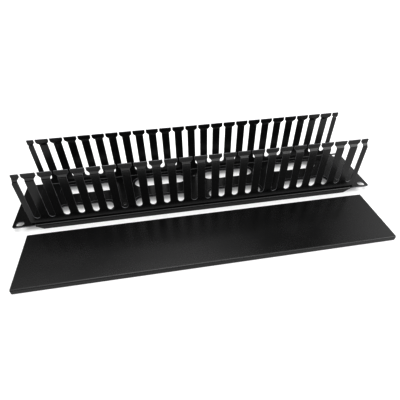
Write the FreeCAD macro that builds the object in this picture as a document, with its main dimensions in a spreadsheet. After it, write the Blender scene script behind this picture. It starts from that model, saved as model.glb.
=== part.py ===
import FreeCAD, Part
import math
import os
import Sketcher

# 2U horizontal cable manager for a 19-inch rack, in millimetres.
# X runs along the panel, Y across its height, +Z out of the rack, away from the ears.
# Origin: centre of the four rack slots, on the ears' rear face, which seats on the rack rails.

NAN = float("nan")
doc = FreeCAD.newDocument("cable_manager")
sheet = doc.addObject("Spreadsheet::Sheet", "dims")

CELLS = [
    # rack panel
    ("panel_width", 482.6), ("panel_height", 88.1), ("panel_thick", 1.5), ("panel_depth", 7.6),
    ("panel_bend", 2.1), ("flange_half_top", 213.5), ("flange_half_low", 204.0), ("ear_corner", 3.0),
    ("rack_pitch_wide", 465.1), ("rack_pitch_high", 76.2), ("rack_slot_long", 10.0), ("rack_slot_high", 7.5),
    # cable pass-through holes, four along and two across
    ("hole_long", 73.4), ("hole_high", 19.0), ("hole_pitch", 101.6), ("hole_offset", 22.0),
    ("base_hole_margin", 2.5),
    # finger duct
    ("duct_length", 435.2), ("duct_thick", 1.2), ("duct_half_width", 42.0), ("duct_bend", 2.9),
    ("duct_top", 75.7), ("joggle_in", 2.45), ("joggle_start", 65.8), ("joggle_angle", 35.0),
    ("joggle_radius_low", 3.5), ("joggle_radius_high", 2.0),
    # fingers and heads
    ("finger_pitch", 18.0), ("slot_count", 24), ("slot_wide", 8.0), ("slot_floor", 10.9),
    ("head_gap", 2.0), ("head_underside", 71.6), ("flare_angle", 45.0), ("flare_round", 0.8),
    ("end_notch_deep", 0.9), ("end_notch_low", 66.4), ("end_round", 0.8),
    # rivets
    ("rivet_pitch", 101.6), ("rivet_offset", 24.0), ("rivet_shank", 3.2), ("rivet_bore", 3.3),
    ("rivet_head", 6.0), ("rivet_rise", 1.3), ("rivet_tail", 5.0), ("rivet_tail_rise", 1.6),
    ("rivet_recess", 2.0), ("rivet_recess_deep", 0.5),
    # loose cover
    ("cover_length", 439.0), ("cover_width", 81.6), ("cover_height", 6.2), ("cover_thick", 1.2),
    ("cover_bend", 1.8), ("cover_place_y", -99.0), ("cover_place_x", -0.4), ("cover_lip", 0.5),
]
for row, (alias, value) in enumerate(CELLS, start=1):
    sheet.set("A%d" % row, alias)
    sheet.set("B%d" % row, str(value))
    sheet.setAlias("B%d" % row, alias)
doc.recompute()


class Q:
    """A size: its number, for the first drawing, and its expression on the sheet."""

    def __init__(self, number, text):
        self.number = float(number)
        self.text = text

    def __add__(self, other):
        other = quantity(other)
        return Q(self.number + other.number, "(%s + %s)" % (self.text, other.text))

    def __sub__(self, other):
        other = quantity(other)
        return Q(self.number - other.number, "(%s - %s)" % (self.text, other.text))

    def __mul__(self, other):
        other = quantity(other)
        return Q(self.number * other.number, "(%s * %s)" % (self.text, other.text))

    def __truediv__(self, other):
        other = quantity(other)
        return Q(self.number / other.number, "(%s / %s)" % (self.text, other.text))

    def __neg__(self):
        return Q(-self.number, "(0 - %s)" % self.text)


def quantity(value):
    return value if isinstance(value, Q) else Q(value, "%.6g" % value)


def dim(alias):
    return Q(float(sheet.get(alias)), "dims.%s" % alias)


def cosine(angle):
    return Q(math.cos(math.radians(angle.number)), "cos(%s * 1 deg)" % angle.text)


def sine(angle):
    return Q(math.sin(math.radians(angle.number)), "sin(%s * 1 deg)" % angle.text)


def root(value):
    return Q(math.sqrt(value.number), "sqrt(%s)" % value.text)


def plane_of(body, role):
    return [o for o in body.Origin.OriginFeatures if o.Role == role][0]


def new_body(label):
    body = doc.addObject("PartDesign::Body", label)
    body.Label = label
    return body


def new_sketch(body, name, role, lift=None):
    sketch = body.newObject("Sketcher::SketchObject", name)
    sketch.AttachmentSupport = (plane_of(body, role), "")
    sketch.MapMode = "FlatFace"
    if lift is not None:
        sketch.setExpression("AttachmentOffset.Base.z", quantity(lift).text)
    return sketch


def pin(sketch, geo, pos, axis, value, tag):
    """Fix one coordinate of a point, bound to the sheet."""
    value = quantity(value)
    if abs(value.number) < 1e-9:
        sketch.addConstraint(Sketcher.Constraint("PointOnObject", geo, pos, -2 if axis == "x" else -1))
        return
    kind = "DistanceX" if axis == "x" else "DistanceY"
    index = sketch.addConstraint(Sketcher.Constraint(kind, -1, 1, geo, pos, value.number))
    sketch.renameConstraint(index, tag)
    sketch.setExpression("Constraints.%s" % tag, value.text)


def draw_loop(sketch, corners, tag):
    """Closed loop. Each corner is (x, y) or (x, y, arc), where arc = (centre x, centre y,
    turn, pinned axis) bends the edge that leaves the corner."""
    count = len(corners)
    first = sketch.GeometryCount
    for i in range(count):
        a, b = corners[i], corners[(i + 1) % count]
        ax, ay, bx, by = [quantity(v).number for v in (a[0], a[1], b[0], b[1])]
        if len(a) > 2:
            cx, cy = quantity(a[2][0]).number, quantity(a[2][1]).number
            radius = math.hypot(ax - cx, ay - cy)
            start, end = math.atan2(ay - cy, ax - cx), math.atan2(by - cy, bx - cx)
            if a[2][2] == "cw":
                start, end = end, start
            if end <= start:
                end += 2 * math.pi
            circle = Part.Circle(FreeCAD.Vector(cx, cy, 0), FreeCAD.Vector(0, 0, 1), radius)
            sketch.addGeometry(Part.ArcOfCircle(circle, start, end), False)
        else:
            sketch.addGeometry(Part.LineSegment(FreeCAD.Vector(ax, ay, 0), FreeCAD.Vector(bx, by, 0)), False)

    def ends(i):
        corner = corners[i]
        return (2, 1) if len(corner) > 2 and corner[2][2] == "cw" else (1, 2)

    for i in range(count):
        j = (i + 1) % count
        sketch.addConstraint(Sketcher.Constraint("Coincident", first + i, ends(i)[1], first + j, ends(j)[0]))
    for i, corner in enumerate(corners):
        pin(sketch, first + i, ends(i)[0], "x", corner[0], "%s_x%d" % (tag, i))
        pin(sketch, first + i, ends(i)[0], "y", corner[1], "%s_y%d" % (tag, i))
        if len(corner) > 2:
            cx, cy, _, axis = corner[2]
            pin(sketch, first + i, 3, axis, cx if axis == "x" else cy, "%s_c%d" % (tag, i))


def draw_circle(sketch, x, y, radius, tag):
    x, y, radius = quantity(x), quantity(y), quantity(radius)
    geo = sketch.addGeometry(Part.Circle(FreeCAD.Vector(x.number, y.number, 0), FreeCAD.Vector(0, 0, 1),
                                         radius.number), False)
    pin(sketch, geo, 3, "x", x, tag + "_x")
    pin(sketch, geo, 3, "y", y, tag + "_y")
    index = sketch.addConstraint(Sketcher.Constraint("Radius", geo, radius.number))
    sketch.renameConstraint(index, tag + "_r")
    sketch.setExpression("Constraints.%s_r" % tag, radius.text)


def obround(x, y, length, height):
    """Loop of an oblong hole with round ends, long in x."""
    half, r = length / 2, height / 2
    return [
        (x - half + r, y - r), (x + half - r, y - r, (x + half - r, y, "ccw", "x")),
        (x + half - r, y + r), (x - half + r, y + r, (x - half + r, y, "ccw", "x")),
    ]


def pad(body, sketch, name, length, symmetric=False, backwards=False):
    feature = body.newObject("PartDesign::Pad", name)
    feature.Profile = sketch
    feature.Type = "Length"
    feature.SideType = "Symmetric" if symmetric else "One side"
    feature.Reversed = backwards
    feature.setExpression("Length", quantity(length).text)
    doc.recompute()
    return feature


def pocket_through(body, sketch, name):
    """Cut the sketch right through, both ways from its plane."""
    before = body.Shape.Volume
    feature = body.newObject("PartDesign::Pocket", name)
    feature.Profile = sketch
    feature.Type = "ThroughAll"
    feature.SideType = "Symmetric"
    doc.recompute()
    if not feature.Shape.Volume < before - 0.01:
        raise RuntimeError("%s cuts nothing" % name)
    return feature


def pattern_x(body, feature, sketch, name, pitch, count):
    before = body.Shape.Volume
    pattern = body.newObject("PartDesign::LinearPattern", name)
    pattern.Originals = [feature]
    pattern.Direction = (sketch, ["H_Axis"])
    pattern.Mode = "Spacing"
    pattern.setExpression("Offset", quantity(pitch).text)
    pattern.setExpression("Occurrences", quantity(count).text)
    body.Tip = pattern
    doc.recompute()
    if not pattern.Shape.Volume < before - 0.01:
        raise RuntimeError("%s repeats nothing" % name)
    return pattern


# ---------------------------------------------------------------- rack panel
t = dim("panel_thick")
half_w, half_h = dim("panel_width") / 2, dim("panel_height") / 2
bend = dim("panel_bend")
fold_z = t - bend                      # where the flange's outer face begins
edge_z = t - dim("panel_depth")        # free edge of the return flanges
top_half, low_half = dim("flange_half_top"), dim("flange_half_low")

panel = new_body("rack_panel")
# Cross-section of the web and its two return flanges, along the rack opening.
sk = new_sketch(panel, "panel_section", "YZ_Plane")
right = [
    (half_h, edge_z), (half_h, fold_z, (half_h - bend, fold_z, "ccw", "x")),
    (half_h - bend, t),
]
left = [
    (-half_h + bend, t, (-half_h + bend, fold_z, "ccw", "x")), (-half_h, fold_z),
    (-half_h, edge_z), (-half_h + t, edge_z),
    (-half_h + t, fold_z, (-half_h + bend, fold_z, "cw", "x")), (-half_h + bend, 0),
    (half_h - bend, 0, (half_h - bend, fold_z, "cw", "x")), (half_h - t, fold_z), (half_h - t, edge_z),
]
draw_loop(sk, right + left, "sec")
pad(panel, sk, "panel_web", top_half * 2, symmetric=True)
# Flat ears of full height, joined by the web between the two folds.
sk = new_sketch(panel, "ear_outline", "XY_Plane")
inner = half_h - bend
draw_loop(sk, [
    (half_w, -half_h), (half_w, half_h), (top_half, half_h), (top_half, inner),
    (-top_half, inner), (-top_half, half_h), (-half_w, half_h), (-half_w, -half_h),
    (-top_half, -half_h), (-top_half, -inner), (top_half, -inner), (top_half, -half_h),
], "ear")
pad(panel, sk, "ears", t)
# Slanted ends of the flanges, clear of the rack rails.
sk = new_sketch(panel, "flange_slant", "XZ_Plane")
for side, tag in ((1, "east"), (-1, "west")):
    draw_loop(sk, [
        (top_half * side, fold_z), (low_half * side, edge_z - 1), ((top_half + 5) * side, edge_z - 1),
        ((top_half + 5) * side, fold_z),
    ], tag)
pocket_through(panel, sk, "flange_ends")
# Rounded ear corners.
corner_edges = []
for index, edge in enumerate(panel.Shape.Edges, start=1):
    box = edge.BoundBox
    if box.XLength < 1e-6 and box.YLength < 1e-6 and abs(abs(box.XMin) - half_w.number) < 1e-4:
        corner_edges.append("Edge%d" % index)
if len(corner_edges) != 4:
    raise RuntimeError("ear corners: %d" % len(corner_edges))
sharp = panel.Tip
round_ears = panel.newObject("PartDesign::Fillet", "ear_corners")
round_ears.Base = (sharp, corner_edges)
round_ears.setExpression("Radius", dim("ear_corner").text)
panel.Tip = round_ears
doc.recompute()
# Four oblong rack slots.
sk = new_sketch(panel, "rack_slot_outline", "XY_Plane")
for i, (sx, sy) in enumerate(((1, 1), (-1, 1), (-1, -1), (1, -1))):
    draw_loop(sk, obround(dim("rack_pitch_wide") / 2 * sx, dim("rack_pitch_high") / 2 * sy,
                          dim("rack_slot_long"), dim("rack_slot_high")), "rack%d" % i)
pocket_through(panel, sk, "rack_slots")
# Eight oblong cable pass-through holes.
first_hole = dim("hole_pitch") * -1.5
sk = new_sketch(panel, "pass_hole_outline", "XY_Plane")
for sy, tag in ((1, "far"), (-1, "near")):
    draw_loop(sk, obround(first_hole, dim("hole_offset") * sy, dim("hole_long"), dim("hole_high")), tag)
cut = pocket_through(panel, sk, "pass_holes_first")
pattern_x(panel, cut, sk, "pass_holes", dim("hole_pitch"), 4)
# Rivet bores between the holes and at both ends.
first_rivet = dim("rivet_pitch") * -2
sk = new_sketch(panel, "panel_rivet_bores", "XY_Plane")
for sy, tag in ((1, "far"), (-1, "near")):
    draw_circle(sk, first_rivet, dim("rivet_offset") * sy, dim("rivet_bore") / 2, tag)
cut = pocket_through(panel, sk, "panel_bores_first")
pattern_x(panel, cut, sk, "panel_bores", dim("rivet_pitch"), 5)

# --------------------------------------------------------------- finger duct
dt = dim("duct_thick")
yo, ro = dim("duct_half_width"), dim("duct_bend")
zb = t                                  # the channel's base lies on the panel's front face
zj, zt = dim("joggle_start"), dim("duct_top")
r1, r2, jog = dim("joggle_radius_low"), dim("joggle_radius_high"), dim("joggle_in")
ca, sa = cosine(dim("joggle_angle")), sine(dim("joggle_angle"))
yh = yo - jog                           # outer face of the heads
slope = (jog - (r1 + r2) * (quantity(1) - ca)) / sa
ze = zj + (r1 + r2) * sa + slope * ca   # where the heads stand upright again


def wall(side):
    """Corners of one wall from its outer foot up, over the head and down its inner face."""
    turn, back = ("ccw", "cw") if side > 0 else ("cw", "ccw")
    s = side
    return [
        ((yo - ro) * s, zb, ((yo - ro) * s, zb + ro, turn, "x")),
        (yo * s, zb + ro),
        (yo * s, zj, ((yo - r1) * s, zj, turn, "x")),
        ((yo - r1 + r1 * ca) * s, zj + r1 * sa),
        ((yh + r2 - r2 * ca) * s, ze - r2 * sa, ((yh + r2) * s, ze, back, "x")),
        (yh * s, ze),
        (yh * s, zt),
        ((yh - dt) * s, zt),
        ((yh - dt) * s, ze, ((yh + r2) * s, ze, turn, "x")),
        ((yh + r2 - (r2 + dt) * ca) * s, ze - (r2 + dt) * sa),
        ((yo - r1 + (r1 - dt) * ca) * s, zj + (r1 - dt) * sa, ((yo - r1) * s, zj, back, "x")),
        ((yo - dt) * s, zj),
        ((yo - dt) * s, zb + ro, ((yo - ro) * s, zb + ro, back, "x")),
        ((yo - ro) * s, zb + dt),
    ]


def turned_round(corners):
    """The same loop walked the other way, for the mirrored wall."""
    walked = []
    for i in range(len(corners) - 1, -1, -1):
        before = corners[i - 1] if i > 0 else None
        point = corners[i][:2]
        if before is not None and len(before) > 2:
            cx, cy, turn, axis = before[2]
            point = point + ((cx, cy, "cw" if turn == "ccw" else "ccw", axis),)
        walked.append(point)
    return walked


duct = new_body("finger_duct")
sk = new_sketch(duct, "duct_section", "YZ_Plane")
draw_loop(sk, wall(1) + turned_round(wall(-1)), "sec")
pad(duct, sk, "duct_channel", dim("duct_length"), symmetric=True)
# One slot between two fingers, with its round floor, its flare under the heads and the narrow gap
# between two heads, cut through both walls and repeated along them.
x0 = dim("finger_pitch") * (dim("slot_count") - 1) / -2
sw, gap = dim("slot_wide") / 2, dim("head_gap") / 2
zf, zu = dim("slot_floor"), dim("head_underside")
fr, cf, sf = dim("flare_round"), cosine(dim("flare_angle")), sine(dim("flare_angle"))
ft = fr * (quantity(1) - cf) / sf          # tangent length of the flare's rounded corners
zn = zu - (sw - gap) * cf / sf             # where the flare starts
sk = new_sketch(duct, "slot_outline", "XZ_Plane")
draw_loop(sk, [
    (x0 - sw, zf + sw, (x0, zf + sw, "ccw", "y")),
    (x0 + sw, zf + sw),
    (x0 + sw, zn - ft, (x0 + sw - fr, zn - ft, "ccw", "x")),
    (x0 + sw - ft * sf, zn + ft * cf),
    (x0 + gap + ft * sf, zu - ft * cf, (x0 + gap + fr, zu + ft, "cw", "x")),
    (x0 + gap, zu + ft),
    (x0 + gap, zt + 1),
    (x0 - gap, zt + 1),
    (x0 - gap, zu + ft, (x0 - gap - fr, zu + ft, "cw", "x")),
    (x0 - gap - ft * sf, zu - ft * cf),
    (x0 - sw + ft * sf, zn + ft * cf, (x0 - sw + fr, zn - ft, "ccw", "x")),
    (x0 - sw, zn - ft),
], "slot")
cut = pocket_through(duct, sk, "slot_first")
pattern_x(duct, cut, sk, "slots", dim("finger_pitch"), dim("slot_count"))
# The four end fingers step in below their heads, and their top corners are rounded.
xe, nd, nz = dim("duct_length") / 2, dim("end_notch_deep"), dim("end_notch_low")
er = dim("end_round")
sk = new_sketch(duct, "end_outline", "XZ_Plane")
for s, tag in ((1, "east"), (-1, "west")):
    turn, back = ("cw", "ccw") if s > 0 else ("ccw", "cw")
    draw_loop(sk, [
        ((xe + 1) * s, nz - nd), (xe * s, nz - nd), ((xe - nd) * s, nz),
        ((xe - nd) * s, zt - er, ((xe - nd - er) * s, zt - er, back, "x")), ((xe - nd - er) * s, zt),
        ((xe - nd - er) * s, zt + 1), ((xe + 1) * s, zt + 1),
    ], tag)
pocket_through(duct, sk, "end_fingers")
# Base cut-outs round the panel's holes, a little larger than they are.
margin = dim("base_hole_margin") * 2
sk = new_sketch(duct, "base_hole_outline", "XY_Plane")
for sy, tag in ((1, "far"), (-1, "near")):
    draw_loop(sk, obround(first_hole, dim("hole_offset") * sy, dim("hole_long") + margin,
                          dim("hole_high") + margin), tag)
cut = pocket_through(duct, sk, "base_holes_first")
pattern_x(duct, cut, sk, "base_holes", dim("hole_pitch"), 4)
sk = new_sketch(duct, "duct_rivet_bores", "XY_Plane")
for sy, tag in ((1, "far"), (-1, "near")):
    draw_circle(sk, first_rivet, dim("rivet_offset") * sy, dim("rivet_bore") / 2, tag)
cut = pocket_through(duct, sk, "duct_bores_first")
pattern_x(duct, cut, sk, "duct_bores", dim("rivet_pitch"), 5)

# -------------------------------------------------------------------- rivets
# One blind rivet, turned about Z: domed head with a round recess on the channel's base, shank through
# both sheets, set tail behind the panel. The ten rivets are copies of it.
rivet = new_body("rivet_master")
sh, rh, rt = dim("rivet_shank") / 2, dim("rivet_head") / 2, dim("rivet_tail") / 2
zs = t + dt
sk = new_sketch(rivet, "rivet_profile", "XZ_Plane")
rise = dim("rivet_rise")
dome_drop = (rh * rh - rise * rise) / (rise * 2)     # dome centre below the head's seat
rr, deep = dim("rivet_recess") / 2, dim("rivet_recess_deep")
ball = dome_drop + rise
lip = root(ball * ball - rr * rr)                    # height of the recess's rim over that centre
draw_loop(sk, [
    (0, -dim("rivet_tail_rise")), (rt - 0.7, -dim("rivet_tail_rise")), (rt, -dim("rivet_tail_rise") + 0.7),
    (rt, 0), (sh, 0), (sh, zs), (rh, zs, (0, zs - dome_drop, "ccw", "y")), (rr, zs - dome_drop + lip),
    (rr, zs - deep), (0, zs - deep),
], "rivet")
spin = rivet.newObject("PartDesign::Revolution", "rivet_turned")
spin.Profile = sk
spin.ReferenceAxis = (sk, ["V_Axis"])
spin.Angle = 360
doc.recompute()

rivets = doc.addObject("Part::Feature", "duct_rivets")
rivets.Label = "duct_rivets"
copies = []
for k in range(-2, 3):
    for sy in (-1, 1):
        one = rivet.Shape.copy()
        one.translate(FreeCAD.Vector(k * float(sheet.get("rivet_pitch")), sy * float(sheet.get("rivet_offset")), 0))
        copies.append(one)
rivets.Shape = Part.makeCompound([solid for one in copies for solid in one.Solids])
rivets.Placement = FreeCAD.Placement()

# --------------------------------------------------------------------- cover
cover = new_body("duct_cover")
cw, ch, ct, cb = dim("cover_width") / 2, dim("cover_height"), dim("cover_thick"), dim("cover_bend")
sk = new_sketch(cover, "cover_section", "YZ_Plane")
draw_loop(sk, [
    (cw, 0), (cw, ch - cb, (cw - cb, ch - cb, "ccw", "x")), (cw - cb, ch),
    (-cw + cb, ch, (-cw + cb, ch - cb, "ccw", "x")), (-cw, ch - cb), (-cw, 0),
    (-cw + ct, 0), (-cw + ct, ch - cb, (-cw + cb, ch - cb, "cw", "x")), (-cw + cb, ch - ct),
    (cw - cb, ch - ct, (cw - cb, ch - cb, "cw", "x")), (cw - ct, ch - cb), (cw - ct, 0),
], "sec")
pad(cover, sk, "cover_channel", dim("cover_length"), symmetric=True)
# Lower corners of the flanges are rounded at both ends.
low_edges = []
for index, edge in enumerate(cover.Shape.Edges, start=1):
    box = edge.BoundBox
    if box.XLength < 1e-6 and box.ZLength < 1e-6 and abs(box.ZMin) < 1e-6 and box.YLength < 2:
        low_edges.append("Edge%d" % index)
if len(low_edges) != 4:
    raise RuntimeError("cover corners: %d" % len(low_edges))
sharp = cover.Tip
round_cover = cover.newObject("PartDesign::Fillet", "cover_corners")
round_cover.Base = (sharp, low_edges)
round_cover.setExpression("Radius", "%s * 2" % dim("cover_lip").text)
cover.Tip = round_cover
doc.recompute()
# It lies face up on the surface that the panel's flanges stand on, in front of the panel.
cover.setExpression("Placement.Base.x", dim("cover_place_x").text)
cover.setExpression("Placement.Base.y", dim("cover_place_y").text)
cover.setExpression("Placement.Base.z", edge_z.text)
doc.recompute()

# -------------------------------------------------------------------- checks
for thing in doc.Objects:
    if "Invalid" in thing.State or "Error" in thing.State:
        raise RuntimeError("%s: %s" % (thing.Name, thing.State))

NODES = [panel, duct, rivets, cover]
SOLIDS = {"rack_panel": 1, "finger_duct": 1, "duct_rivets": 10, "duct_cover": 1}
os.makedirs("parts", exist_ok=True)
for thing in NODES:
    shape = thing.Shape
    if shape.isNull() or not shape.isValid():
        raise RuntimeError("%s has no valid shape" % thing.Label)
    if len(shape.Solids) != SOLIDS[thing.Label]:
        raise RuntimeError("%s: %d solids" % (thing.Label, len(shape.Solids)))
    shape.exportStep("parts/%s.step" % thing.Label)
    box = shape.BoundBox
    print("%-12s %8.1f mm3  x %.2f..%.2f  y %.2f..%.2f  z %.2f..%.2f" % (
        thing.Label, shape.Volume, box.XMin, box.XMax, box.YMin, box.YMax, box.ZMin, box.ZMax))
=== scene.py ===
import math

import bmesh
import bpy
import numpy as np
from mathutils import Matrix, Vector


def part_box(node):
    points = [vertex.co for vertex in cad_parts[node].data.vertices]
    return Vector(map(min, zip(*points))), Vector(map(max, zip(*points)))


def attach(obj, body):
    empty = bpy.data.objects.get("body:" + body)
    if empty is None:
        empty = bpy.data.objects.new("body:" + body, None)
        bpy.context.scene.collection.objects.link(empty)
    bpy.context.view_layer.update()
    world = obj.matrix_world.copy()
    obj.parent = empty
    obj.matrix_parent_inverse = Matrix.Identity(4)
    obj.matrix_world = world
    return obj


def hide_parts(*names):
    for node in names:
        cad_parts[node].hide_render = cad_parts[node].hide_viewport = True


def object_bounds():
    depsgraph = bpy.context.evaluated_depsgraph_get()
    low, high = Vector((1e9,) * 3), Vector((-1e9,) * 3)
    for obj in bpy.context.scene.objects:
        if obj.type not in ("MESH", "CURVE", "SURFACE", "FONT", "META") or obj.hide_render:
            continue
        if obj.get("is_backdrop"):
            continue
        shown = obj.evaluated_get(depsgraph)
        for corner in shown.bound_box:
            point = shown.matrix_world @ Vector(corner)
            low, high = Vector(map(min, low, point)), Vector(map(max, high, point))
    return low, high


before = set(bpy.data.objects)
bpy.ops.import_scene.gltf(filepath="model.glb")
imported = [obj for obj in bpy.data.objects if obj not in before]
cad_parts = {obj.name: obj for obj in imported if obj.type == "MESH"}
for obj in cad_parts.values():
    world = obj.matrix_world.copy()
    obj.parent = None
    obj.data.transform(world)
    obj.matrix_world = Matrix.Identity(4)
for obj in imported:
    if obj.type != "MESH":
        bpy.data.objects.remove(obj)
cad_lo, cad_hi = [list(v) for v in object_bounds()]

MM = 0.001


# ------------------------------------------------------------------ flat outlines
# Every sheet is drawn flat, in millimetres, as (x, y) outlines, thickened with rounded edges,
# and then folded: y runs along the folded section's middle line.

def arc(cx, cy, r, a0, a1, n):
    """Points on an arc, angles in degrees, both ends included."""
    return [(cx + r * math.cos(math.radians(a0 + (a1 - a0) * i / n)),
             cy + r * math.sin(math.radians(a0 + (a1 - a0) * i / n))) for i in range(n + 1)]


def obround(cx, cy, length, height, n=20):
    """Oblong hole with round ends, long in x."""
    r, h = height / 2, length / 2 - height / 2
    return arc(cx + h, cy, r, -90, 90, n) + arc(cx - h, cy, r, 90, 270, n)


def soften(points, r, n=4):
    """Rounds every corner sharper than 20 degrees with a small arc."""
    out, count = [], len(points)
    for i in range(count):
        p0, p, p1 = (Vector(points[(i + k) % count]) for k in (-1, 0, 1))
        a, b = (p0 - p), (p1 - p)
        la, lb = a.length, b.length
        if la < 1e-6 or lb < 1e-6:
            continue
        a, b = a / la, b / lb
        turn = math.pi - a.angle(b)
        if turn < math.radians(20):
            out.append((p.x, p.y))
            continue
        cut = min(r * math.tan(turn / 2), la * 0.45, lb * 0.45)
        radius = cut / math.tan(turn / 2)
        s, e = p + a * cut, p + b * cut
        c = p + (a + b).normalized() * math.hypot(radius, cut)
        t0 = math.atan2(s.y - c.y, s.x - c.x)
        t1 = math.atan2(e.y - c.y, e.x - c.x)
        d = (t1 - t0 + math.pi) % (2 * math.pi) - math.pi
        for k in range(n + 1):
            t = t0 + d * k / n
            out.append((c.x + radius * math.cos(t), c.y + radius * math.sin(t)))
    return out


def thicken(name, outlines, thick, edge, rings=2):
    """A flat sheet from closed outlines (the first is the rim, the others holes), with edges rounded to `edge`.
    Returns a bmesh in millimetres, lying in z = -thick/2 .. thick/2."""
    cu = bpy.data.curves.new(name, "CURVE")
    cu.dimensions = "2D"
    cu.fill_mode = "BOTH"
    cu.extrude = thick / 2 - edge
    cu.bevel_depth = edge
    cu.bevel_resolution = rings
    cu.offset = -edge
    for k, pts in enumerate(outlines):
        area = sum(a[0] * b[1] - b[0] * a[1] for a, b in zip(pts, pts[1:] + pts[:1]))
        if (area > 0) != (k == 0):          # rim one way round, holes the other
            pts = pts[::-1]
        sp = cu.splines.new("POLY")
        sp.points.add(len(pts) - 1)
        sp.points.foreach_set("co", [c for p in pts for c in (p[0], p[1], 0.0, 1.0)])
        sp.use_cyclic_u = True
    ob = bpy.data.objects.new(name + "_curve", cu)
    bpy.context.scene.collection.objects.link(ob)
    dg = bpy.context.evaluated_depsgraph_get()
    me = bpy.data.meshes.new_from_object(ob.evaluated_get(dg))
    bm = bmesh.new()
    bm.from_mesh(me)
    bpy.data.meshes.remove(me)
    bpy.data.objects.remove(ob)
    bpy.data.curves.remove(cu)
    bmesh.ops.remove_doubles(bm, verts=bm.verts, dist=1e-3)
    bmesh.ops.recalc_face_normals(bm, faces=bm.faces)
    return bm


def flat_normals(bm, thick, edge):
    """Smooth normals of the flat sheet, worked out from where each point lies on its rounded edge."""
    bm.normal_update()
    bm.verts.ensure_lookup_table()
    out = np.zeros((len(bm.verts), 3))
    core = thick / 2 - edge
    for v in bm.verts:
        z = v.co.z
        if abs(z) > thick / 2 - 1e-3:
            out[v.index] = (0, 0, math.copysign(1, z))
            continue
        n = Vector((0, 0, 0))
        for f in v.link_faces:
            if abs(f.normal.z) < 0.99:
                flat = Vector((f.normal.x, f.normal.y, 0))
                n += flat.normalized() * f.calc_area() ** 0.5
        n = n.normalized() if n.length > 1e-9 else Vector((1, 0, 0))
        lift = min(1.0, max(0.0, (abs(z) - core) / edge))
        up = math.asin(lift)
        out[v.index] = (n.x * math.cos(up), n.y * math.cos(up), math.copysign(math.sin(up), z))
    return out


class Fold:
    """Middle line of a folded section in (y, z), from y = 0 outwards, as straight runs and arcs."""

    def __init__(self, y, z):
        self.runs = []          # (start length, kind, data)
        self.s, self.p, self.a = 0.0, Vector((y, z)), 0.0
        self.cuts = []

    def straight(self, length):
        self.runs.append((self.s, length, "line", self.p.copy(), self.a, 0.0))
        self.p = self.p + Vector((math.cos(self.a), math.sin(self.a))) * length
        self.s += length
        return self

    def bend(self, radius, degrees, parts):
        """Turns left (towards +z when going along +y) for positive degrees."""
        turn = math.radians(degrees)
        length = radius * abs(turn)
        self.runs.append((self.s, length, "arc", self.p.copy(), self.a, math.copysign(1 / radius, turn)))
        for i in range(parts + 1):
            self.cuts.append(self.s + length * i / parts)
        k = math.copysign(1 / radius, turn)
        a1 = self.a + turn
        self.p = self.p + Vector(((math.sin(a1) - math.sin(self.a)) / k, (math.cos(self.a) - math.cos(a1)) / k))
        self.a = a1
        self.s += length
        return self

    def at(self, s):
        """Points and tangent angles at lengths s (array, s >= 0)."""
        s = np.asarray(s, float)
        y, z, a = np.zeros_like(s), np.zeros_like(s), np.zeros_like(s)
        for i, (s0, length, kind, p, a0, k) in enumerate(self.runs):
            last = i == len(self.runs) - 1
            m = (s >= s0 - 1e-9) if last else (s >= s0 - 1e-9) & (s < s0 + length - 1e-9)
            if i == 0:
                m = m | (s < s0)
            d = s[m] - s0
            if kind == "line":
                y[m], z[m], a[m] = p.x + np.cos(a0) * d, p.y + np.sin(a0) * d, a0
            else:
                t = a0 + k * d
                y[m] = p.x + (np.sin(t) - math.sin(a0)) / k
                z[m] = p.y + (math.cos(a0) - np.cos(t)) / k
                a[m] = t
        return y, z, a

    def length_at_height(self, z):
        """The length along the line at which it is at height z, past the first bend."""
        s = np.linspace(self.runs[1][0], self.s, 4000)
        zz = self.at(s)[1]
        return float(np.interp(z, zz, s))


def folded(name, bm, normals, fold, place=(0, 0, 0), flat_beyond=None, flip=1.0):
    """Folds the flat sheet along its section and makes a Blender object of it, in metres."""
    bm.verts.ensure_lookup_table()
    co = np.array([v.co for v in bm.verts])
    s = np.abs(co[:, 1])
    side = np.where(co[:, 1] < 0, -1.0, 1.0)
    y, z, a = fold.at(s)
    if flat_beyond is not None:
        m = np.abs(co[:, 0]) > flat_beyond
        y[m], z[m], a[m] = s[m], fold.runs[0][3].y, 0.0
    ny, nz = -np.sin(a), np.cos(a)
    w = co[:, 2] * flip
    out = np.stack([co[:, 0], side * (y + ny * w), z + nz * w], -1)
    nv = normals[:, 1] * side
    nw = normals[:, 2] * flip
    nout = np.stack([normals[:, 0], side * (nv * np.cos(a) + nw * ny), nv * np.sin(a) + nw * nz], -1)
    if flip < 0:
        bmesh.ops.reverse_faces(bm, faces=bm.faces)
    me = bpy.data.meshes.new(name)
    bm.to_mesh(me)
    bm.free()
    out = (out + np.array(place)) * MM
    me.vertices.foreach_set("co", out.astype(np.float32).ravel())
    me.polygons.foreach_set("use_smooth", [True] * len(me.polygons))
    me.update()
    nout /= np.linalg.norm(nout, axis=1)[:, None]
    me.normals_split_custom_set_from_vertices([tuple(n) for n in nout])
    # the cut_edge attribute marks the rounded cut edges, where the coats paint a highlight
    mark = me.attributes.new("cut_edge", "FLOAT", "POINT")
    mark.data.foreach_set("value", (np.abs(co[:, 2]) < np.abs(co[:, 2]).max() - 1e-3).astype(np.float32))
    ob = bpy.data.objects.new(name, me)
    bpy.context.scene.collection.objects.link(ob)
    return ob


def cut_along(bm, places):
    """Cuts the flat sheet along lines y = place, both sides, so that it can bend there."""
    for p in places:
        for y in (p, -p):
            geom = bm.verts[:] + bm.edges[:] + bm.faces[:]
            bmesh.ops.bisect_plane(bm, geom=geom, dist=1e-5, plane_co=(0, y, 0), plane_no=(0, 1, 0))


def cut_across(bm, places):
    for x in places:
        geom = bm.verts[:] + bm.edges[:] + bm.faces[:]
        bmesh.ops.bisect_plane(bm, geom=geom, dist=1e-5, plane_co=(x, 0, 0), plane_no=(1, 0, 0))


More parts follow.
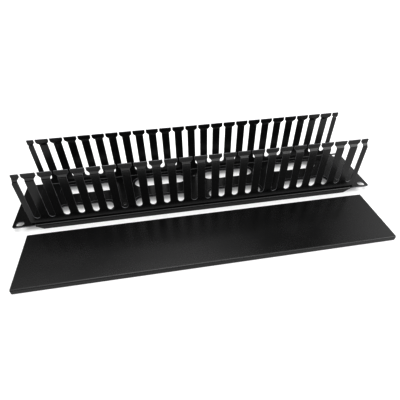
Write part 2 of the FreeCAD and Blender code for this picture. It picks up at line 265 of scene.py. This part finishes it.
# ------------------------------------------------------------------ rack panel
PANEL_T, PANEL_R, PANEL_H, PANEL_W = 1.5, 2.1, 88.1, 482.6
lo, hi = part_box("rack_panel")
panel_front = hi.z / MM                      # front face of the ears and the web
panel_low = lo.z / MM                        # free edges of the two return flanges
mid = panel_front - PANEL_T / 2
fold = Fold(0.0, mid)
web = PANEL_H / 2 - PANEL_R
fold.straight(web).bend(PANEL_R - PANEL_T / 2, -90, 7).straight(panel_front - PANEL_R - panel_low)
V = fold.s
bend_end = fold.runs[2][0]
# One quarter of the rim, x > 0 and y > 0: along the ear, round the relief notch, along the flange.
quarter = [
    (PANEL_W / 2, 0.0),
] + arc(PANEL_W / 2 - 3, PANEL_H / 2 - 3, 3, 0, 90, 8) + [
    (213.9, PANEL_H / 2), (213.9, web - 0.35), (213.3, web - 0.35), (213.3, web + 0.2),
    (213.2, bend_end), (204.4, V),
]
mirror_x = [(-x, y) for x, y in quarter[::-1]]
upper = quarter + mirror_x
rim = upper + [(x, -y) for x, y in upper[::-1]]
rim = [p for i, p in enumerate(rim) if math.dist(p, rim[i - 1]) > 1e-6]
rim = soften(rim, 0.35)
holes = [obround(cx, cy, 73.4, 19.0, 28) for cx in (-152.4, -50.8, 50.8, 152.4) for cy in (-22.0, 22.0)]
holes += [obround(sx * 232.55, sy * 38.1, 10.0, 7.5, 14) for sx in (-1, 1) for sy in (-1, 1)]
bm = thicken("panel", [rim] + holes, PANEL_T, 0.2)
cut_along(bm, fold.cuts)
normals = flat_normals(bm, PANEL_T, 0.2)
panel = folded("panel_sheet", bm, normals, fold, flat_beyond=213.6)

# ------------------------------------------------------------------ finger duct
T, R_FOOT, HALF = 1.2, 2.9, 42.0
lo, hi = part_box("finger_duct")
base_z, top_z = lo.z / MM, hi.z / MM
JOG, R1, R2, JA, JZ = 2.45, 3.5, 2.0, 35.0, 65.8
ca, sa = math.cos(math.radians(JA)), math.sin(math.radians(JA))
slope = (JOG - (R1 + R2) * (1 - ca)) / sa
ze = JZ + (R1 + R2) * sa + slope * ca
fold = Fold(0.0, base_z + T / 2)
fold.straight(HALF - R_FOOT).bend(R_FOOT - T / 2, 90, 8).straight(JZ - base_z - R_FOOT)
fold.bend(R1 - T / 2, JA, 4).straight(slope).bend(R2 + T / 2, -JA, 4).straight(top_z - ze)
V = fold.s


def up(x, z):
    return (x, fold.length_at_height(z))


XE, PITCH, COUNT = hi.x / MM, 18.0, 24
SW, GAP, FLOOR, UNDER, FLARE, FR = 4.0, 1.0, 10.9, 71.6, 45.0, 0.8
ND, NZ, ER = 0.9, 66.4, 0.8
cf, sf = math.cos(math.radians(FLARE)), math.sin(math.radians(FLARE))
FT = FR * (1 - cf) / sf
ZN = UNDER - (SW - GAP) * cf / sf            # where the slot starts to narrow
top = [(-XE, NZ - ND), (-XE + ND, NZ)] + arc(-XE + ND + ER, top_z - ER, ER, 180, 90, 5)
ENDS = len(top)
for k in range(COUNT):
    x0 = (k - (COUNT - 1) / 2) * PITCH
    left = [(x0 - GAP, top_z)]
    left += arc(x0 - GAP - FR, UNDER + FT, FR, 0, -FLARE, 4)
    left += arc(x0 - SW + FR, ZN - FT, FR, 180 - FLARE, 180, 4)
    left += arc(x0, FLOOR + SW, SW, 180, 270, 12)
    right = [(2 * x0 - x, z) for x, z in left[::-1]]
    top += left + right[1:]
top += [(-x, z) for x, z in top[:ENDS][::-1]]
upper = [up(x, z) for x, z in top][::-1]     # from +x to -x
upper = [p for i, p in enumerate(upper) if math.dist(p, upper[i - 1]) > 1e-4]
rim = upper + [(x, -y) for x, y in upper[::-1]]
rim = soften(rim, 0.3)
holes = [obround(cx, cy, 78.4, 24.0, 28) for cx in (-152.4, -50.8, 50.8, 152.4) for cy in (-22.0, 22.0)]
bm = thicken("duct", [rim] + holes, T, 0.25)
cut_along(bm, fold.cuts)
normals = flat_normals(bm, T, 0.25)
duct = folded("duct_sheet", bm, normals, fold)

# ------------------------------------------------------------------ cover
CT, CR, CW = 1.2, 1.8, 81.6
lo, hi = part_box("duct_cover")
CH = (hi.z - lo.z) / MM
cx, cy = (lo.x + hi.x) / 2 / MM, (lo.y + hi.y) / 2 / MM
fold = Fold(0.0, hi.z / MM - CT / 2)
fold.straight(CW / 2 - CR).bend(CR - CT / 2, -90, 8).straight(CH - CR)
V = fold.s
CL = (hi.x - lo.x) / MM / 2
rim = [(CL, 0.0), (CL, CW / 2 - CR), (CL, V - 1.0)] + arc(CL - 1, V - 1, 1, 0, 90, 5)
rim = rim + [(-x, y) for x, y in rim[::-1]]
rim = rim + [(x, -y) for x, y in rim[::-1]]
rim = [p for i, p in enumerate(rim) if math.dist(p, rim[i - 1]) > 1e-6]
bm = thicken("cover", [rim], CT, 0.18)
cut_along(bm, fold.cuts)
normals = flat_normals(bm, CT, 0.18)
cover = folded("cover_sheet", bm, normals, fold, place=(cx, cy, 0))

# ------------------------------------------------------------------ rivets
lo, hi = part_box("duct_rivets")
seat, crown, tail = base_z + T, hi.z / MM, lo.z / MM


def turned(profile, steps=32):
    """Verts and faces of a profile of (r, z) turned about Z, closed where r is 0."""
    verts, faces, rings = [], [], []
    for r, z in profile:
        if r < 1e-6:
            rings.append([len(verts)])
            verts.append((0, 0, z))
        else:
            rings.append(list(range(len(verts), len(verts) + steps)))
            verts += [(r * math.cos(2 * math.pi * i / steps), r * math.sin(2 * math.pi * i / steps), z)
                      for i in range(steps)]
    for a, b in zip(rings, rings[1:]):
        for i in range(steps):
            j = (i + 1) % steps
            if len(a) == 1:
                faces.append((a[0], b[i], b[j]))
            elif len(b) == 1:
                faces.append((a[i], b[0], a[j]))
            else:
                faces.append((a[i], b[i], b[j], a[j]))
    return verts, faces


rise, rad = crown - seat, 3.0
ball = (rad * rad + rise * rise) / (2 * rise)
dome = []
for i in range(9):
    r = 1.15 + (rad - 0.12 - 1.15) * i / 8
    dome.append((r, seat + rise - ball + math.sqrt(ball * ball - r * r)))
profile = [(0, seat - 0.5), (0.9, seat - 0.5), (1.0, seat - 0.4), (1.0, dome[0][1] - 0.22), (1.05, dome[0][1] - 0.06)]
profile += dome + [(rad - 0.02, seat + 0.12), (rad, seat + 0.05), (rad, seat), (1.6, seat)]
profile += [(1.6, panel_front - PANEL_T), (2.5, panel_front - PANEL_T)]
profile += [(2.5, tail + 0.7), (2.3, tail + 0.25), (1.8, tail), (0, tail)]
profile = [p for i, p in enumerate(profile) if i == 0 or math.dist(p, profile[i - 1]) > 1e-6]
verts, faces = [], []
pv, pf = turned(profile)
for ix in range(-2, 3):
    for sy in (-1, 1):
        n = len(verts)
        verts += [((x + ix * 101.6) * MM, (y + sy * 24.0) * MM, z * MM) for x, y, z in pv]
        faces += [tuple(n + i for i in f) for f in pf]
me = bpy.data.meshes.new("rivet_set")
me.from_pydata(verts, [], faces)
bm = bmesh.new()
bm.from_mesh(me)
bmesh.ops.recalc_face_normals(bm, faces=bm.faces)
bm.to_mesh(me)
bm.free()
me.polygons.foreach_set("use_smooth", [True] * len(me.polygons))
me.set_sharp_from_angle(angle=math.radians(40))
rivets = bpy.data.objects.new("rivet_set", me)
bpy.context.scene.collection.objects.link(rivets)


# ------------------------------------------------------------------ materials
# painted highlight: the lighter tone given to the cut edges in place of the sheen they catch
EDGE_SHEEN_TONE = (0.17, 0.17, 0.178, 1)


def powder_coat(name, tone, rough, peel, grain, seed, coat=0.0):
    """Semi-gloss powder coat: fine orange peel, finer grain, and slow changes of tone and gloss."""
    m = bpy.data.materials.new(name)
    m.use_nodes = True
    nt = m.node_tree
    nodes, links = nt.nodes, nt.links
    b = nodes["Principled BSDF"]
    b.inputs["IOR"].default_value = 1.5
    b.inputs["Specular IOR Level"].default_value = 0.8
    b.inputs["Metallic"].default_value = 0.0
    b.inputs["Coat Weight"].default_value = coat
    b.inputs["Coat Roughness"].default_value = 0.3
    co = nodes.new("ShaderNodeTexCoord")
    mp = nodes.new("ShaderNodeMapping")
    mp.inputs["Location"].default_value = (seed, seed * 0.7, seed * 1.3)
    links.new(co.outputs["Object"], mp.inputs["Vector"])

    def noise(scale, detail, roughness=0.5):
        n = nodes.new("ShaderNodeTexNoise")
        n.inputs["Scale"].default_value = scale
        n.inputs["Detail"].default_value = detail
        n.inputs["Roughness"].default_value = roughness
        links.new(mp.outputs["Vector"], n.inputs["Vector"])
        return n.outputs["Fac"]

    def ramp(source, lo, hi, a, b_):
        r = nodes.new("ShaderNodeMapRange")
        r.inputs["From Min"].default_value = lo
        r.inputs["From Max"].default_value = hi
        r.inputs["To Min"].default_value = a
        r.inputs["To Max"].default_value = b_
        links.new(source, r.inputs["Value"])
        return r.outputs["Result"]

    slow = noise(14, 3)
    fine = noise(900, 2)
    mixc = nodes.new("ShaderNodeMix")
    mixc.data_type = "RGBA"
    mixc.inputs["A"].default_value = tuple(c * 0.82 for c in tone) + (1,)
    mixc.inputs["B"].default_value = tuple(c * 1.2 for c in tone) + (1,)
    links.new(ramp(slow, 0.3, 0.7, 0, 1), mixc.inputs["Factor"])
    # painted highlight: the punched edges get a lighter base colour, standing in for the light their rounded edges
    # catch
    edge = nodes.new("ShaderNodeAttribute")
    edge.attribute_name = "cut_edge"
    edge_sheen = nodes.new("ShaderNodeMix")
    edge_sheen.data_type = "RGBA"
    edge_sheen.inputs["B"].default_value = EDGE_SHEEN_TONE
    share = nodes.new("ShaderNodeMath")
    share.operation = "MULTIPLY"
    links.new(edge.outputs["Fac"], share.inputs[0])
    links.new(ramp(noise(160, 3), 0.35, 0.65, 0.55, 1.0), share.inputs[1])
    links.new(share.outputs[0], edge_sheen.inputs["Factor"])
    links.new(mixc.outputs["Result"], edge_sheen.inputs["A"])
    links.new(edge_sheen.outputs["Result"], b.inputs["Base Color"])
    # gloss: slow patches plus a fine speckle
    add = nodes.new("ShaderNodeMath")
    add.operation = "ADD"
    links.new(ramp(noise(22, 4), 0.3, 0.7, rough - 0.03, rough + 0.03), add.inputs[0])
    links.new(ramp(fine, 0.3, 0.7, -0.03, 0.03), add.inputs[1])
    links.new(add.outputs[0], b.inputs["Roughness"])
    # orange peel about 1.5 mm across, with a finer grain on it
    bump1 = nodes.new("ShaderNodeBump")
    bump1.inputs["Strength"].default_value = 1.0
    bump1.inputs["Distance"].default_value = peel
    links.new(noise(650, 1.5), bump1.inputs["Height"])
    bump2 = nodes.new("ShaderNodeBump")
    bump2.inputs["Strength"].default_value = 1.0
    bump2.inputs["Distance"].default_value = grain
    links.new(noise(3200, 1), bump2.inputs["Height"])
    links.new(bump1.outputs["Normal"], bump2.inputs["Normal"])
    links.new(bump2.outputs["Normal"], b.inputs["Normal"])
    return m


coat_panel = powder_coat("powder_coat_panel", (0.0056, 0.0056, 0.0058), 0.21, 0.000016, 0.0000025, 0.31)
coat_duct = powder_coat("powder_coat_duct", (0.0042, 0.0042, 0.0044), 0.20, 0.000016, 0.0000025, 1.17)
coat_cover = powder_coat("powder_coat_cover", (0.0024, 0.0024, 0.0026), 0.26, 0.000016, 0.0000025, 2.43)
coat_rivet = powder_coat("rivet_black", (0.0056, 0.0056, 0.0058), 0.28, 0.000004, 0.000002, 3.9)

for ob, mat, node, body, slot in (
    (panel, coat_panel, "rack_panel", "manager", "black_powder_coat"),
    (duct, coat_duct, "finger_duct", "manager", "black_powder_coat"),
    (rivets, coat_rivet, "duct_rivets", "manager", "black_rivet"),
    (cover, coat_cover, "duct_cover", "cover", "black_powder_coat"),
):
    ob.data.materials.clear()
    ob.data.materials.append(mat)
    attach(ob, body)
    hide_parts(node)
    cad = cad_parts[node]
    cad.data.materials.clear()
    cad.data.materials.append(mat)

# ------------------------------------------------------------------ floor
FLOOR_GLOW = 0.28
me = bpy.data.meshes.new("floor")
S = 4.0  # how far the floor reaches from the middle
me.from_pydata([(-S, -S, 0), (S, -S, 0), (S, S, 0), (-S, S, 0)], [], [(0, 1, 2, 3)])
floor = bpy.data.objects.new("floor", me)
floor.location = (0, 0, cad_lo[2])
bpy.context.scene.collection.objects.link(floor)
fm = bpy.data.materials.new("pale_floor")
fm.use_nodes = True
fb = fm.node_tree.nodes["Principled BSDF"]
fb.inputs["Base Color"].default_value = (0.56, 0.56, 0.56, 1)
fb.inputs["Roughness"].default_value = 0.9
fb.inputs["Specular IOR Level"].default_value = 0.0
fb.inputs["Emission Color"].default_value = (1, 1, 1, 1)
fb.inputs["Emission Strength"].default_value = FLOOR_GLOW
floor.data.materials.append(fm)
floor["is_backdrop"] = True

# A plain pale backdrop closes the view at the floor's far edge. Only the camera sees it: it
# neither lights nor shades the object.
RINGS, SECTORS = 12, 64
verts = [
    (S * math.cos(u) * math.cos(v), S * math.sin(u) * math.cos(v), S * math.sin(v))
    for v in (math.radians(88) * k / RINGS for k in range(RINGS + 1))
    for u in (2 * math.pi * j / SECTORS for j in range(SECTORS))
]
faces = [
    (k * SECTORS + j, k * SECTORS + (j + 1) % SECTORS, (k + 1) * SECTORS + (j + 1) % SECTORS, (k + 1) * SECTORS + j)
    for k in range(RINGS)
    for j in range(SECTORS)
]
faces.append(tuple(RINGS * SECTORS + j for j in range(SECTORS)))
me = bpy.data.meshes.new("backdrop")
me.from_pydata(verts, [], faces)
backdrop = bpy.data.objects.new("backdrop", me)
backdrop.location = (0, 0, cad_lo[2] - 0.001)
bpy.context.scene.collection.objects.link(backdrop)
bm_ = bpy.data.materials.new("pale_backdrop")
bm_.use_nodes = True
bb = bm_.node_tree.nodes["Principled BSDF"]
bb.inputs["Base Color"].default_value = (0, 0, 0, 1)
bb.inputs["Specular IOR Level"].default_value = 0.0
bb.inputs["Emission Color"].default_value = (1, 1, 1, 1)
bb.inputs["Emission Strength"].default_value = 1.0
backdrop.data.materials.append(bm_)
backdrop.visible_diffuse = False
backdrop.visible_glossy = False
backdrop.visible_transmission = False
backdrop.visible_volume_scatter = False
backdrop.visible_shadow = False
backdrop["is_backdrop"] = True

# ------------------------------------------------------------------ light
# A soft studio dome: a dim surround with broad soft lights fixed in the room. Azimuth 0 is
# behind the object (+Y), 90 to its right (+X), 180 in front.
SURROUND = 0.0
LIGHTS = [
    # azimuth, elevation, inner and outer half-angle, strength
    (0, 90, 0, 34, 3.2),
    (5, 68, 0, 25, 3.0), (318, 55, 0, 17, 1.8), (56, 40, 0, 15, 1.9),
    (120, 62, 0, 30, 0.5), (240, 62, 0, 30, 0.9),
    (90, 36, 0, 26, 1.6), (122, 38, 0, 25, 3.0), (148, 32, 0, 25, 2.8),
    (180, 34, 0, 26, 1.6), (215, 42, 0, 25, 1.8), (240, 36, 0, 26, 0.9), (300, 36, 0, 26, 0.3),
    (3, 18, 14, 25, 1.8), (335, 18, 0, 18, 0.6), (40, 24, 0, 10, 1.6), (45, 10, 0, 24, 1.8), (135, 10, 0, 24, 1.6), (225, 10, 0, 24, 1.0),
]
world = bpy.data.worlds.new("studio")
bpy.context.scene.world = world
world.use_nodes = True


def dome(lights, surround):
    nodes, links = world.node_tree.nodes, world.node_tree.links
    for n in list(nodes):
        if n.type not in ("BACKGROUND", "OUTPUT_WORLD"):
            nodes.remove(n)
    bg = nodes["Background"]
    bg.inputs["Strength"].default_value = 1.0
    coord = nodes.new("ShaderNodeTexCoord")
    total = None
    for az, el, inner, outer, strength in lights:
        az, el = math.radians(az), math.radians(el)
        dot = nodes.new("ShaderNodeVectorMath")
        dot.operation = "DOT_PRODUCT"
        dot.inputs[1].default_value = (math.sin(az) * math.cos(el), math.cos(az) * math.cos(el), math.sin(el))
        links.new(coord.outputs["Generated"], dot.inputs[0])
        ramp = nodes.new("ShaderNodeMapRange")
        ramp.interpolation_type = "SMOOTHSTEP"
        ramp.inputs["From Min"].default_value = math.cos(math.radians(outer))
        ramp.inputs["From Max"].default_value = math.cos(math.radians(inner))
        ramp.inputs["To Min"].default_value = 0.0
        ramp.inputs["To Max"].default_value = strength
        links.new(dot.outputs["Value"], ramp.inputs["Value"])
        add = nodes.new("ShaderNodeMath")
        add.operation = "ADD"
        links.new(ramp.outputs["Result"], add.inputs[0])
        if total is None:
            add.inputs[1].default_value = surround
        else:
            links.new(total, add.inputs[1])
        total = add.outputs[0]
    links.new(total, bg.inputs["Color"])


dome(LIGHTS, SURROUND)

# ------------------------------------------------------------------ camera
AZ, EL, ROLL, DIST = -8.803, 41.525, -1.045, 0.41951
target = Vector((-6.057, -48.54, panel_front)) * MM
a, e = math.radians(AZ), math.radians(EL)
back = Vector((math.sin(a) * math.cos(e), -math.cos(a) * math.cos(e), math.sin(e)))
fwd = -back
right = fwd.cross(Vector((0, 0, 1))).normalized()
upv = right.cross(fwd)
r = math.radians(ROLL)
right, upv = math.cos(r) * right + math.sin(r) * upv, -math.sin(r) * right + math.cos(r) * upv
cam_data = bpy.data.cameras.new("camera")
cam_data.type = "PERSP"
cam_data.sensor_fit = "HORIZONTAL"
cam_data.sensor_width = 36.0
cam_data.lens = 316.892 / 400 * 36.0
cam_data.shift_x = -(197.942 - 200) / 400
cam_data.shift_y = (208.052 - 200) / 400
cam_data.clip_start, cam_data.clip_end = 0.01, 50
cam = bpy.data.objects.new("camera", cam_data)
rot = Matrix((right, upv, back)).transposed().to_4x4()
cam.matrix_world = Matrix.Translation(target + back * DIST) @ rot
bpy.context.scene.collection.objects.link(cam)
bpy.context.scene.camera = cam

view = bpy.context.scene.view_settings
view.view_transform = "Standard"
view.look = "None"
view.exposure = 0.0
view.gamma = 0.65

lo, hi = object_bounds()
